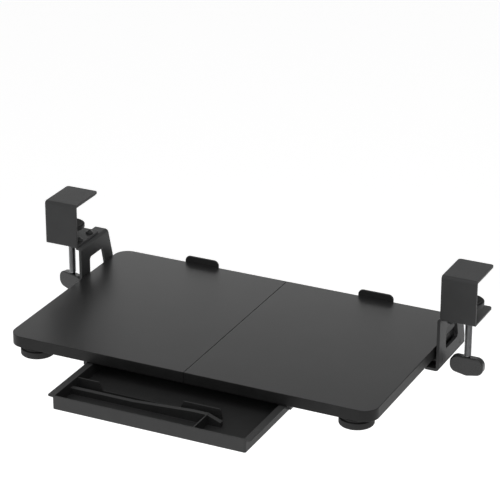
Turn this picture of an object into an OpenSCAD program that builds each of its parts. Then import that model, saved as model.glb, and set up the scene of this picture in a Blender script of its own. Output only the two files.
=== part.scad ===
/* [Board] */
// Width of the board, both halves together
board_w = 500; // [440:5:640]
// Depth of the board, front to back
board_d = 300; // [280:5:340]
// Thickness of the board
board_t = 15; // [12:0.5:20]
// Radius of the four corners of the board
board_corner_r = 19.5; // [5:0.5:40]
// Gap left at the seam between the two halves
seam_gap = 0.3; // [0.1:0.1:1]
// How far the board stands out from the edge of the desk
board_reach = 195.5; // [150:0.5:200]
// Free height from the top of the board to the underside of the desk
board_drop = 61; // [56:0.5:80]

/* [Desk] */
// Thickness of the desk top that the clamps hold
desk_t = 35; // [15:0.5:38]

/* [Clamps] */
// Width of a clamp
clamp_w = 46.7; // [42:0.1:56]
// Height of a clamp, outside
clamp_h = 60; // [56:0.5:70]
// Length of a jaw, outside
clamp_d = 60; // [56:0.5:75]
// Thickness of the clamp plate
clamp_t = 3; // [2:0.1:4]
// Outer radius of the upper bend
clamp_top_bend_r = 4; // [2:0.1:6]
// Outer radius of the lower bend
clamp_low_bend_r = 1.5; // [0.5:0.1:3]
// Radius of the free corners of the jaws
jaw_corner_r = 4; // [1:0.5:8]
// Thickness of the rubber pad under the upper jaw
jaw_pad_t = 2; // [1:0.1:3]
// Margin of the rubber pad inside the edges of the jaw
jaw_pad_margin = 2; // [1:0.5:6]

/* [Clamp screws] */
// Outer diameter of the thread
screw_d = 9; // [8:0.1:12]
// Distance from the inner side of the clamp to the screw
screw_inset = 26.6; // [24:0.1:30]
// Distance from the edge of the desk to the screw
screw_setback = 29.4; // [26:0.1:34]
// Width across the flats of the nut
nut_af = 16; // [15:0.5:19]
// Height of the nut
nut_h = 5; // [4:0.1:6]
// Diameter of the pressure pad
pressure_pad_d = 36; // [26:0.5:38]
// Thickness of the pressure pad's plate
pressure_pad_t = 4; // [3.6:0.1:5]
// Thickness of its rubber facing
pad_facing_t = 2; // [1:0.1:3]
// Width of the rim that holds the facing
pad_lip = 1.2; // [0.8:0.1:3]
// Diameter of the spigot that turns in the pressure pad
spigot_d = 6; // [4:0.1:7]
// Length of that spigot
spigot_len = 3; // [2:0.1:3.2]

/* [Handles] */
// Length of a handle, side to side
handle_w = 44.4; // [34:0.1:48]
// Height of a handle at its ends
handle_h = 23; // [20:0.1:30]
// How far the handle's underside bulges in the middle
handle_belly = 2.3; // [0:0.1:6]
// Thickness of a handle
handle_t = 10; // [8:0.1:14]
// Radius of the handle's corners
handle_corner_r = 10; // [4:0.1:10.5]
// Diameter of the screw's tang inside the handle
tang_d = 5.6; // [4:0.1:6]
// Length of that tang
tang_len = 15; // [8:0.5:18]
// Height of the middle of the right handle's ends under the top of the board
handle_drop_right = 28.7; // [20:0.1:40]
// Height of the middle of the left handle's ends under the top of the board
handle_drop_left = 24; // [20:0.1:40]
// Turn of the right handle about its screw
handle_turn_right = 0; // [-90:1:90]
// Turn of the left handle about its screw
handle_turn_left = -18; // [-90:1:90]

/* [Hanger brackets] */
// Thickness of the bracket plate
bracket_t = 4; // [2:0.1:4.5]
// Free height between a slide rail and the bracket's lower flange
rail_run_gap = 0.4; // [0.3:0.05:1]
// Height of the bracket's upright edge behind
bracket_foot_h = 14; // [4:0.5:16]
// Length of a bracket along its lower edge
bracket_low_len = 90; // [84:0.5:110]
// Length of a bracket along its upper edge
bracket_top_len = 73; // [60:0.5:80]
// Free space between the side of the board and the bracket
side_gap = 2.6; // [2:0.1:5]
// Free space between the bracket and the side of the clamp
clamp_gap = 0.5; // [0.3:0.1:4]
// Setback of the bracket's front edge from the edge of the desk
bracket_setback = 0.5; // [0:0.1:3]
// Further setback of the upper flange at the front
flange_setback = 4; // [0:0.5:8]
// Width of the upper flange, plate included
top_flange_w = 19.4; // [18:0.1:20]
// Width of the lower flange, plate included
low_flange_w = 18.3; // [14:0.1:19]
// Outer radius of the bracket's bends
bracket_bend_r = 4.5; // [4.5:0.1:7]
// Height of the window, above which the bracket is whole
window_h = 29; // [20:0.5:34]
// Distance from the top of the bracket to the window
window_top = 22; // [18:0.5:26]
// Distance from the bracket's front edge to the window
window_front = 22.7; // [18:0.1:30]
// Width of the window along its upper edge
window_top_w = 36.8; // [20:0.1:38]
// Width of the window along its lower edge
window_low_w = 42; // [20:0.1:46]
// Radius of the window's corners
window_r = 4.5; // [2:0.5:8]
// Diameter of the bolts that join bracket and clamp
bolt_d = 6; // [4:0.1:6]
// Distance from the clamp's inner side to those bolts
bolt_inset = 7.7; // [7:0.1:8.5]
// Distance from the edge of the desk to the front bolt
bolt_setback = 17; // [14:0.5:20]
// Distance between the two bolts
bolt_pitch = 27.5; // [20:0.5:30]
// Size of the hexagon socket in the bolts
bolt_key = 4; // [2.5:0.5:4]

/* [Rollers and slide rails] */
// Diameter of a roller
roller_d = 9.6; // [8:0.1:10]
// Width of a roller's tread
roller_w = 8.2; // [6:0.1:8.4]
// Diameter of a roller's hub
hub_d = 7.6; // [6.5:0.1:8]
// Diameter of a roller axle
axle_d = 5; // [3:0.1:5.5]
// Diameter of the axle's inner head
axle_head_d = 7.5; // [6.5:0.1:8]
// Thickness of the axle's inner head
axle_head_t = 0.9; // [0.6:0.1:1]
// Gap between a roller and the flanges of its rail
roller_gap = 0.3; // [0.2:0.05:0.5]
// Distance from the edge of the desk to the front roller
roller_front_y = 13.2; // [11:0.1:16]
// Distance between the front and the rear roller
roller_pitch = 61.3; // [50:0.1:64]
// Thickness of the slide rail's walls
rail_t = 1.2; // [1:0.1:2]
// Distance from the side of the board to the slide rail
rail_side = 9.6; // [9:0.1:20]
// Depth of the slide rail's channel
rail_channel = 12; // [11.8:0.1:12.6]
// Width of the slide rail's fixing flange
rail_flange_w = 14; // [10:0.5:20]
// Distance from a front foot to the rail behind it
rail_front_gap = 2.9; // [0.5:0.1:15]
// Distance from the back of the board to the rail
rail_back_gap = 4; // [2:0.5:20]
// Length of the stops in the ends of a rail
rail_stop_len = 8; // [5:0.5:10]

/* [Feet] */
// Diameter of a front foot
foot_d = 43.6; // [30:0.1:46]
// Height of a front foot
foot_h = 14.4; // [9:0.1:15]
// Distance from the side of the board to the middle of a foot
foot_side = 30.5; // [27:0.5:36]
// Distance from the front of the board to the middle of a foot
foot_front = 23.3; // [18:0.1:24]
// Height of the foot's collar, groove included
foot_collar_h = 5.7; // [4:0.1:7]
// Depth of the collar inside the sole's edge
foot_collar_in = 1.5; // [1:0.1:4]
// Height and depth of the foot's groove
foot_groove = 1.5; // [1:0.1:3]
// Depth of the screw's recess in the sole
foot_recess = 6.5; // [3:0.1:7]

/* [Rear stops] */
// Width of a rear stop
stop_w = 49.5; // [30:0.5:80]
// Rise of a rear stop above the board
stop_rise = 8.7; // [4:0.1:20]
// Reach of a rear stop down the back of the board
stop_skirt = 12; // [10:0.5:15]
// Thickness of a rear stop
stop_t = 3; // [2:0.1:4]
// Distance from the seam to the near side of a rear stop
stop_x = 102; // [60:0.5:140]
// Radius of a rear stop's upper corners
stop_r = 7; // [2:0.5:8]
// Radius of a rear stop's lower corners
stop_low_r = 1; // [0.5:0.5:5]

/* [Drawer] */
// Width of the drawer's box, outside
drawer_w = 259.4; // [200:0.2:300]
// Depth of the drawer, front to back
drawer_d = 165; // [150:1:200]
// Height of the drawer
drawer_h = 17.8; // [14:0.1:24]
// Thickness of the drawer's walls and floor
drawer_t = 2.4; // [1.2:0.1:3]
// Reach of the rim beyond the box, at each side
rim_w = 7; // [6:0.1:12]
// Thickness of the rim
rim_t = 1.8; // [1.2:0.1:2.5]
// Gap between the rim and the underside of the board
rim_gap = 1.6; // [1.5:0.1:5]
// Radius of the box's corners, outside
drawer_r = 2.5; // [2.5:0.5:10]
// Radius of the rim's corners
rim_r = 3; // [1:0.5:6]
// How far the drawer stands out in front of the board
drawer_out = 95.3; // [60:0.1:100]
// Length of the lugs at the rear of the rim
lug_len = 8; // [5:0.5:12]
// Distance of the lugs from the rear end of the rim
lug_back = 3; // [3:0.5:6]
// Distance from the drawer's front to the thick divider
front_divider_y = 43; // [30:0.1:50]
// Thickness of the thick divider
front_divider_t = 6.2; // [1.6:0.1:8]
// Distance from the drawer's front to the thin divider
rear_divider_y = 60.5; // [56:0.1:75]
// Thickness of the thin dividers
divider_t = 1.8; // [1.2:0.1:2.5]
// Distance from the seam to the cross divider
cross_divider_x = 59; // [30:0.5:90]
// Depth of the dividers' tops below the rim
divider_drop = 2; // [0:0.1:4]
// Depth of the thick divider's low end below the rim
low_divider_drop = 7; // [4:0.1:9]
// Height of the ridge under the thin divider's finger gap
ridge_h = 3; // [1:0.1:6]
// Distance from the left wall to the finger gap in the thin divider
finger_from = 31.5; // [15:0.5:60]
// Distance from the cross divider to the finger gap
finger_to = 46; // [20:0.5:60]
// How far the thin divider runs past the cross divider
thin_past = 11.5; // [5:0.5:20]
// Length of the slants at the ends of the thin divider's high parts
slant_len = 5; // [4:0.5:15]
// Distance from the cross divider to where the thick divider is low
low_from = 100; // [60:1:140]
// Distance from the cross divider to where the thick divider is high
high_from = 20; // [5:1:40]
// Length of the thick divider's ramp
ramp_len = 18.5; // [10:0.5:30]
// Height of the ramp's blunt end
ramp_end_h = 6.5; // [1:0.1:7]

/* [Drawer rails] */
// Distance from the front of the board to the drawer rails
drawer_rail_front = 3.5; // [1:0.1:8]
// Thickness of the drawer rail's lip
lip_t = 2.5; // [1.2:0.1:3]
// Thickness of the drawer rail's upright wall
drawer_rail_wall = 4.9; // [3:0.1:7]
// Length of the keeper at the front of a drawer rail
keeper_len = 22; // [10:0.5:30]
// Thickness of the wall that closes the rail's rear end
end_wall_t = 3; // [2:0.1:5]
// Width and length of a drawer rail's ears
ear = 12; // [9:0.5:16]
// Radius of the ears' corners
ear_r = 3; // [1:0.5:4]
// Thickness of the ears
ear_t = 2.2; // [1.5:0.1:3]

/* [Fixings] */
// Diameter of the wood screws
wood_screw_d = 3.5; // [2.5:0.1:4]
// Length of the wood screws in the board
wood_screw_len = 10; // [6:0.5:11]
// Diameter of the wood screws' heads
wood_head_d = 7; // [5:0.1:7.5]
// Height of the wood screws' heads
wood_head_h = 2; // [1:0.1:2.4]
// Length of a joining plate across the seam
joining_w = 80; // [60:1:110]
// Width of a joining plate, front to back
joining_d = 36; // [24:1:50]
// Thickness of a joining plate
joining_t = 1.2; // [0.8:0.1:1.3]
// Radius of a joining plate's corners
joining_r = 5; // [1:0.5:10]
// Distance from the ends of a joining plate to its screws
joining_end = 10; // [7:0.5:15]
// Distance from the long sides of a joining plate to its screws
joining_side = 8; // [6:0.5:10]
// Distance from the front and back of the board to the joining plates
joining_inset = 55; // [40:1:90]
// Diameter of the dowels in the seam
dowel_d = 8; // [6:0.5:9]
// Length of the dowels in the seam
dowel_len = 40; // [20:1:60]

/* [Hidden] */
$fn = 64;

// Clearances
hole_gap = 0.3;     // around a bolt or a screw in its hole
run_gap = 0.05;     // radial, around what turns in a bore
face_gap = 0.3;     // between faces that slide past each other
spigot_gap = 0.2;   // over and under the spigot in the pressure pad
tip_gap = 0.5;      // beside the rim in its rail, and from a rail stop to the rail's edge
cut = 1;            // how far a cut runs past the faces that it opens

// Heights
jaw_top = jaw_pad_t + clamp_t;
clamp_bottom = jaw_top - clamp_h;
jaw_floor = clamp_bottom + clamp_t;
board_top = -desk_t - board_drop;
board_bottom = board_top - board_t;
bracket_top = clamp_bottom;

// Board outline
board_front = -board_reach;
board_back = board_front + board_d;
board_side = board_w / 2;

// Bracket, clamp and screw places on the right side
bracket_in = board_side + side_gap;
bracket_out = bracket_in + bracket_t;
clamp_in = bracket_out + clamp_gap;
clamp_out = clamp_in + clamp_w;
screw_x = clamp_in + screw_inset;
bolt_x = clamp_in + bolt_inset;
bracket_front = bracket_setback;
window_z = bracket_top - window_top;
low_flange_in = bracket_out - low_flange_w;

// Slide rail section and rollers
rail_h = roller_d + 2 * roller_gap + 2 * rail_t;
rail_in = board_side - rail_side - rail_channel;
rail_front = board_front + foot_front + foot_d / 2 + rail_front_gap;
roller_z = board_bottom - rail_t - roller_gap - roller_d / 2;
rail_screw_x = rail_in - rail_flange_w / 2;
axle_head_in = rail_in + rail_t + face_gap;
roller_in = axle_head_in + axle_head_t + face_gap;
roller_ys = [roller_front_y, roller_front_y + roller_pitch];
rail_least_back = roller_ys[1] + roller_d / 2 + tip_gap + rail_stop_len;
rail_back = max(board_back - rail_back_gap, rail_least_back); // its stop stays behind the rear roller
bracket_bottom = board_bottom - rail_h - rail_run_gap - bracket_t;

// Pressure pad and screw heights
pad_top = -desk_t;
pad_plate_top = pad_top - pad_facing_t;
pad_bottom = pad_plate_top - pressure_pad_t;
shoulder_z = pad_bottom - spigot_gap;
bolt_head_d = 1.75 * bolt_d;
bolt_head_h = 0.5 * bolt_d;
bolt_nut_h = bolt_d;
bolt_nut_af = 1.65 * bolt_d;
bolt_tail = 1.5;

// Drawer
drawer_side = drawer_w / 2;
rim_side = drawer_side + rim_w;
rim_top = board_bottom - rim_gap;
drawer_bottom = rim_top - drawer_h;
drawer_floor = drawer_bottom + drawer_t;
drawer_front = board_front - drawer_out;
drawer_back = drawer_front + drawer_d;
divider_top = rim_top - divider_drop;
lug_in = drawer_side + drawer_t;

// Drawer rails
rail_wall_in = rim_side + tip_gap;
rail_wall_out = rail_wall_in + drawer_rail_wall;
lip_in = drawer_side + tip_gap;
lip_top = rim_top - rim_t - face_gap;
lip_bottom = lip_top - lip_t;
drawer_rail_y = board_front + drawer_rail_front;
drawer_travel_in = drawer_rail_y - drawer_front;
drawer_rail_back = drawer_back + drawer_travel_in + face_gap + end_wall_t;
ear_x = rail_wall_out + ear / 2;
ear_ys = [for (k = [0.2, 0.5, 0.85]) drawer_rail_y + k * (drawer_rail_back - drawer_rail_y)];

// Joining plates and dowels
joining_ys = [board_front + joining_inset, board_back - joining_inset];
joining_hole = [joining_w / 2 - joining_end, joining_d / 2 - joining_side];
joining_holes = [for (x = [-1, 1], y = [-1, 1]) [x * joining_hole.x, y * joining_hole.y]];
dowel_ys = [board_front + board_d / 4, board_front + board_d / 2, board_back - board_d / 4];
rail_screw_ys = [for (k = [0.12, 0.5, 0.88]) rail_front + k * (rail_back - rail_front)];
stop_screw_xs = [stop_x + stop_w / 4, stop_x + 3 * stop_w / 4];
foot_x = board_side - foot_side;
foot_y = board_front + foot_front;

steel_black = "#2a2a2c";
plastic_black = "#232325";
board_black = "#343436";
rubber_black = "#1b1b1c";
bare_steel = "#8b8d90";
nylon_black = "#1d1d1e";
beech = "#c8a878";

// Pieces are drawn on the right side, and side -1 mirrors them to the left
module on_side(side) {
    mirror([side < 0 ? 1 : 0, 0, 0]) children();
}

// A profile drawn in Y and Z, run from x0 to x1
module along_x(x0, x1) {
    translate([x0, 0, 0]) rotate([90, 0, 90]) linear_extrude(x1 - x0) children();
}

// A profile drawn in X and Z, run from y0 to y1
module along_y(y0, y1) {
    translate([0, y1, 0]) rotate([90, 0, 0]) linear_extrude(y1 - y0) children();
}

// A plan drawn in X and Y, run from z0 to z1
module along_z(z0, z1) {
    translate([0, 0, z0]) linear_extrude(z1 - z0) children();
}

// A rectangle from lo to hi, its corners rounded by r, from the lower left, anticlockwise
module rounded_rect(lo, hi, r) {
    corners = [lo, [hi.x, lo.y], hi, [lo.x, hi.y]];
    inward = [[1, 1], [-1, 1], [-1, -1], [1, -1]];
    difference() {
        translate(lo) square(hi - lo);
        for (i = [0:3]) if (r[i] > 0) {
            centre = corners[i] + r[i] * inward[i];
            difference() {
                translate([min(corners[i].x, centre.x), min(corners[i].y, centre.y)]) square(r[i]);
                translate(centre) circle(r[i]);
            }
        }
    }
}

// A hexagon of the given width across its flats
module hexagon(af) {
    circle(d = af / cos(30), $fn = 6);
}

// Plan of the jaws and of their pads from the given front on, with the free corners round
module jaw_plan(front, margin) {
    r = max(jaw_corner_r - margin, 0.5);
    rounded_rect([clamp_in + margin, front], [clamp_out - margin, clamp_d - clamp_t - margin], [0, 0, r, r]);
}

// The C of the clamp, seen from its side
module clamp_profile() {
    difference() {
        rounded_rect([-clamp_t, clamp_bottom], [clamp_d - clamp_t, jaw_top],
                     [clamp_low_bend_r, 0, 0, clamp_top_bend_r]);
        rounded_rect([0, jaw_floor], [clamp_d, jaw_pad_t], [0, 0, 0, max(clamp_top_bend_r - clamp_t, 0.5)]);
    }
}

module clamp(side) {
    color(steel_black) on_side(side) difference() {
        intersection() {
            along_x(clamp_in, clamp_out) clamp_profile();
            along_z(clamp_bottom, jaw_top) jaw_plan(-clamp_t - cut, 0);
        }
        translate([screw_x, screw_setback, clamp_bottom - cut])
            cylinder(d = screw_d + 2 * hole_gap, h = clamp_t + 2 * cut);
        for (y = [0, bolt_pitch]) translate([bolt_x, bolt_setback + y, clamp_bottom - cut])
            cylinder(d = bolt_d + 2 * hole_gap, h = clamp_t + 2 * cut);
    }
}

module jaw_pad(side) {
    color(rubber_black) on_side(side) along_z(0, jaw_pad_t) jaw_plan(jaw_pad_margin, jaw_pad_margin);
}

module clamp_nut(side) {
    color(bare_steel) on_side(side) translate([screw_x, screw_setback, 0]) difference() {
        along_z(jaw_floor, jaw_floor + nut_h) hexagon(nut_af);
        along_z(jaw_floor - cut, jaw_floor + nut_h + cut) circle(d = screw_d + 2 * run_gap);
    }
}

// Front view of the bracket: upper flange outward, plate, lower flange inward
module bracket_section() {
    inner_r = bracket_bend_r - bracket_t;
    difference() {
        rounded_rect([bracket_in, bracket_bottom + bracket_t], [bracket_in + top_flange_w, bracket_top],
                     [0, 0, 0, bracket_bend_r]);
        rounded_rect([bracket_out, bracket_bottom],
                     [bracket_in + top_flange_w + cut, bracket_top - bracket_t], [0, 0, 0, inner_r]);
    }
    difference() {
        rounded_rect([low_flange_in, bracket_bottom], [bracket_out, bracket_bottom + 2 * bracket_bend_r],
                     [0, bracket_bend_r, 0, 0]);
        rounded_rect([low_flange_in - cut, bracket_bottom + bracket_t], [bracket_in, bracket_top],
                     [0, inner_r, 0, 0]);
    }
}

// Side view of the bracket, with its slanted back edge
module bracket_outline() {
    back_low = bracket_front + bracket_low_len;
    back_top = bracket_front + bracket_top_len;
    polygon([[bracket_front, bracket_bottom], [back_low, bracket_bottom],
             [back_low, bracket_bottom + bracket_foot_h], [back_top, bracket_top],
             [bracket_front, bracket_top]]);
}

// The window is slanted behind, as the back edge is, and round in its corners
module window() {
    y0 = bracket_front + window_front + window_r;
    z0 = window_z - window_h + window_r;
    z1 = window_z - window_r;
    y_low = y0 + window_low_w - 2 * window_r;
    y_top = y0 + window_top_w - 2 * window_r;
    hull() for (p = [[y0, z0], [y_low, z0], [y_top, z1], [y0, z1]]) translate(p) circle(window_r, $fn = 32);
}

module bracket(side) {
    color(steel_black) on_side(side) difference() {
        intersection() {
            along_y(bracket_front, bracket_front + bracket_low_len) bracket_section();
            along_x(low_flange_in - cut, bracket_in + top_flange_w + cut) bracket_outline();
        }
        along_x(bracket_in - cut, bracket_out + cut) window();
        translate([bracket_in + bracket_bend_r, bracket_front - cut, bracket_top - bracket_bend_r])
            cube([top_flange_w, flange_setback + cut, bracket_bend_r + cut]);
        for (y = roller_ys) translate([bracket_in - cut, y, roller_z]) rotate([0, 90, 0])
            cylinder(d = axle_d, h = bracket_t + 2 * cut);
        for (y = [0, bolt_pitch]) translate([bolt_x, bolt_setback + y, bracket_top - bracket_t - cut])
            cylinder(d = bolt_d + 2 * hole_gap, h = bracket_t + 2 * cut);
    }
}

// Two button-head bolts, from inside the jaw down through the bracket's flange
module bracket_bolts(side) {
    reach = clamp_t + bracket_t + bolt_nut_h + bolt_tail;
    color(bare_steel) on_side(side) for (y = [0, bolt_pitch])
        translate([bolt_x, bolt_setback + y, jaw_floor]) {
            difference() {
                rotate_extrude()
                    rounded_rect([0, 0], [bolt_head_d / 2, bolt_head_h], [0, 0, bolt_head_h / 2, 0]);
                along_z(bolt_head_h / 3, bolt_head_h + cut) hexagon(bolt_key);
            }
            translate([0, 0, -reach]) cylinder(d = bolt_d, h = reach);
        }
}

module bracket_nuts(side) {
    color(bare_steel) on_side(side) for (y = [0, bolt_pitch])
        translate([bolt_x, bolt_setback + y, bracket_top - bracket_t - bolt_nut_h]) difference() {
            linear_extrude(bolt_nut_h) hexagon(bolt_nut_af);
            translate([0, 0, -cut]) cylinder(d = bolt_d + 2 * run_gap, h = bolt_nut_h + 2 * cut);
        }
}

// Two pins, each riveted flush into the bracket, with an inner head that keeps the roller on
module roller_axles(side) {
    color(bare_steel) on_side(side) for (y = roller_ys)
        translate([axle_head_in, y, roller_z]) rotate([0, 90, 0]) {
            cylinder(d = axle_head_d, h = axle_head_t);
            cylinder(d = axle_d, h = bracket_out - axle_head_in);
        }
}

module roller(side, y) {
    color(nylon_black) on_side(side) translate([roller_in, y, roller_z]) rotate([0, 90, 0]) difference() {
        union() {
            cylinder(d = roller_d, h = roller_w);
            cylinder(d = hub_d, h = bracket_in - face_gap - roller_in);
        }
        translate([0, 0, -cut]) cylinder(d = axle_d + 2 * run_gap, h = bracket_in - roller_in + cut);
    }
}

module pressure_pad(side) {
    color(steel_black) on_side(side) translate([screw_x, screw_setback, 0]) difference() {
        along_z(pad_bottom, pad_plate_top + pad_facing_t / 2) circle(d = pressure_pad_d);
        along_z(pad_plate_top, pad_plate_top + pad_facing_t) circle(d = pressure_pad_d - 2 * pad_lip);
        along_z(pad_bottom - cut, pad_bottom + spigot_len) circle(d = spigot_d + 2 * run_gap);
    }
}

module pad_facing(side) {
    color(rubber_black) on_side(side) translate([screw_x, screw_setback, 0])
        along_z(pad_plate_top, pad_top) circle(d = pressure_pad_d - 2 * (pad_lip + run_gap));
}

function handle_z(side) = board_top - (side > 0 ? handle_drop_right : handle_drop_left);
function handle_turn(side) = side > 0 ? handle_turn_right : -handle_turn_left;

module clamp_screw(side) {
    handle_top = handle_z(side) + handle_h / 2;
    color(bare_steel) on_side(side) translate([screw_x, screw_setback, 0]) {
        along_z(handle_top, shoulder_z) circle(d = screw_d);
        along_z(shoulder_z - cut, shoulder_z + spigot_len) circle(d = spigot_d);
        along_z(handle_top - tang_len, handle_top + cut) circle(d = tang_d);
    }
}

// A flat paddle: straight above, and with an underside that bulges towards its middle
module handle(side) {
    top = handle_z(side) + handle_h / 2;
    low = handle_z(side) - handle_h / 2;
    r = handle_corner_r;
    end_x = handle_w / 2 - r;
    centres = [[-end_x, top - r], [end_x, top - r], [end_x, low + r], [0, low - handle_belly + r],
               [-end_x, low + r]];
    color(plastic_black) on_side(side) translate([screw_x, screw_setback, 0]) rotate(handle_turn(side))
        difference() {
            along_y(-handle_t / 2, handle_t / 2) hull() for (c = centres) translate(c) circle(r);
            along_z(top - tang_len - hole_gap, top + cut) circle(d = tang_d + 2 * run_gap);
        }
}

// One half of the board, from the seam to its side, with the holes of all that is fixed to it
module board_half(side) {
    r = board_corner_r;
    pilot = wood_screw_d + 2 * run_gap;
    pilot_depth = wood_screw_len + hole_gap;
    color(board_black) on_side(side) difference() {
        along_z(board_bottom, board_top)
            rounded_rect([seam_gap / 2, board_front], [board_side, board_back], [0, r, r, 0]);
        for (y = dowel_ys) translate([-cut, y, board_bottom + board_t / 2]) rotate([0, 90, 0])
            cylinder(d = dowel_d + 2 * run_gap, h = dowel_len / 2 + hole_gap + cut);
        for (p = concat([for (y = rail_screw_ys) [rail_screw_x, y]], [for (y = ear_ys) [ear_x, y]],
                        [for (y = joining_ys, h = joining_holes) if (h.x > 0) [h.x, y + h.y]],
                        [[foot_x, foot_y]]))
            translate([p.x, p.y, board_bottom - cut]) cylinder(d = pilot, h = pilot_depth + cut);
        for (x = stop_screw_xs) translate([x, board_back + cut, board_top - stop_skirt / 2])
            rotate([90, 0, 0]) cylinder(d = pilot, h = pilot_depth + cut);
    }
}

// A countersunk screw at the origin, head up to the plane z = 0 and shank up along +Z
module flat_screw(sheet) {
    rotate_extrude() polygon([[0, 0], [wood_head_d / 2, 0], [wood_screw_d / 2, sheet],
                              [wood_screw_d / 2, sheet + wood_screw_len], [0, sheet + wood_screw_len]]);
}

// A pan-head screw whose head rests under the plane z = 0
module pan_screw(sheet) {
    rotate_extrude() rounded_rect([0, -wood_head_h], [wood_head_d / 2, 0], [0, wood_head_h / 2, 0, 0]);
    cylinder(d = wood_screw_d, h = sheet + wood_screw_len);
}

module joining_plate(y) {
    sink = wood_head_d / 2 + run_gap;
    color(bare_steel) translate([0, y, board_bottom - joining_t]) difference() {
        linear_extrude(joining_t)
            rounded_rect([-joining_w / 2, -joining_d / 2], [joining_w / 2, joining_d / 2],
                         [joining_r, joining_r, joining_r, joining_r]);
        for (h = joining_holes) translate([h.x, h.y, 0]) rotate_extrude()
            polygon([[0, -cut], [sink, -cut], [sink, 0], [wood_screw_d / 2 + run_gap, joining_t],
                     [wood_screw_d / 2 + run_gap, joining_t + cut], [0, joining_t + cut]]);
    }
}

module joining_screws() {
    color(bare_steel) for (y = joining_ys, h = joining_holes)
        translate([h.x, y + h.y, board_bottom - joining_t]) flat_screw(joining_t);
}

module seam_dowels() {
    color(beech) for (y = dowel_ys) translate([-dowel_len / 2, y, board_bottom + board_t / 2])
        rotate([0, 90, 0]) cylinder(d = dowel_d, h = dowel_len);
}

// The plate on the board's back edge that keeps things from rolling off
module rear_stop(side) {
    color(plastic_black) on_side(side) difference() {
        along_y(board_back, board_back + stop_t)
            rounded_rect([stop_x, board_top - stop_skirt], [stop_x + stop_w, board_top + stop_rise],
                         [stop_low_r, stop_low_r, stop_r, stop_r]);
        for (x = stop_screw_xs) translate([x, board_back + stop_t + cut, board_top - stop_skirt / 2])
            rotate([90, 0, 0]) cylinder(d = wood_screw_d + 2 * hole_gap, h = stop_t + 2 * cut);
    }
}

module rear_stop_screws() {
    color(bare_steel) for (side = [-1, 1]) on_side(side) for (x = stop_screw_xs)
        translate([x, board_back + stop_t, board_top - stop_skirt / 2]) rotate([90, 0, 0]) pan_screw(0);
}

// A round foot: a collar under the board, a groove, and a slightly wider sole
module front_foot(side) {
    groove_z = -foot_collar_h;
    collar_r = foot_d / 2 - foot_collar_in;
    color(rubber_black) on_side(side) translate([foot_x, foot_y, board_bottom]) difference() {
        rotate_extrude() difference() {
            rounded_rect([0, -foot_h], [foot_d / 2, 0], [0, foot_collar_in, 0, 0]);
            translate([collar_r, groove_z]) square([foot_d, foot_h]);
            translate([collar_r - foot_groove, groove_z]) square([foot_d, foot_groove]);
        }
        along_z(-foot_h - cut, cut) circle(d = wood_screw_d + 2 * hole_gap);
        along_z(-foot_h - cut, foot_recess - foot_h) circle(d = wood_head_d + 2 * hole_gap);
    }
}

module foot_screws() {
    seat = foot_h - foot_recess;
    color(bare_steel) for (side = [-1, 1]) on_side(side)
        translate([foot_x, foot_y, board_bottom - seat]) pan_screw(seat - wood_head_h);
}

// Front view of the slide rail: fixing flange inward, channel open towards the bracket
module slide_rail_section() {
    difference() {
        translate([rail_in - rail_flange_w, board_bottom - rail_h])
            square([rail_flange_w + rail_channel, rail_h]);
        translate([rail_in - rail_flange_w - cut, board_bottom - rail_h - cut])
            square([rail_flange_w + cut, rail_h - rail_t + cut]);
        translate([rail_in + rail_t, board_bottom - rail_h + rail_t])
            square([rail_channel, rail_h - 2 * rail_t]);
    }
}

module slide_rail(side) {
    color(bare_steel) on_side(side) difference() {
        along_y(rail_front, rail_back) slide_rail_section();
        for (y = rail_screw_ys) translate([rail_screw_x, y, board_bottom - rail_t - cut])
            cylinder(d = wood_screw_d + 2 * hole_gap, h = rail_t + 2 * cut);
    }
}

module slide_rail_screws(side) {
    color(bare_steel) on_side(side) for (y = rail_screw_ys)
        translate([rail_screw_x, y, board_bottom - rail_t]) pan_screw(0);
}

// A block that fills the end of the rail's channel
module rail_stop(side, y) {
    color(plastic_black) on_side(side)
        translate([rail_in + rail_t, y, board_bottom - rail_h + rail_t])
            cube([rail_channel - rail_t - tip_gap, rail_stop_len, rail_h - 2 * rail_t]);
}

// Front view of the drawer rail: an upright wall with a lip under the drawer's rim
module drawer_rail_section() {
    translate([rail_wall_in, lip_bottom]) square([drawer_rail_wall, board_bottom - lip_bottom]);
    translate([lip_in, lip_bottom]) square([rail_wall_out - lip_in, lip_t]);
}

module drawer_rail(side) {
    keeper_bottom = rim_top + face_gap;
    color(plastic_black) on_side(side) difference() {
        union() {
            along_y(drawer_rail_y, drawer_rail_back) drawer_rail_section();
            translate([lip_in, drawer_rail_y, keeper_bottom])
                cube([rail_wall_out - lip_in, keeper_len, board_bottom - keeper_bottom]);
            translate([lip_in, drawer_rail_back - end_wall_t, lip_bottom])
                cube([rail_wall_out - lip_in, end_wall_t, board_bottom - lip_bottom]);
            for (y = ear_ys) along_z(board_bottom - ear_t, board_bottom)
                rounded_rect([rail_wall_out - cut, y - ear / 2], [rail_wall_out + ear, y + ear / 2],
                             [0, ear_r, ear_r, 0]);
        }
        for (y = ear_ys) translate([ear_x, y, board_bottom - ear_t - cut])
            cylinder(d = wood_screw_d + 2 * hole_gap, h = ear_t + 2 * cut);
    }
}

module drawer_rail_screws() {
    color(bare_steel) for (side = [-1, 1]) on_side(side) for (y = ear_ys)
        translate([ear_x, y, board_bottom - ear_t]) pan_screw(0);
}

// Plan of the drawer's box, drawn in by inset
module drawer_plan(inset) {
    r = max(drawer_r - inset, 0.6);
    rounded_rect([-drawer_side + inset, drawer_front + inset], [drawer_side - inset, drawer_back - inset],
                 [r, r, r, r]);
}

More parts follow.
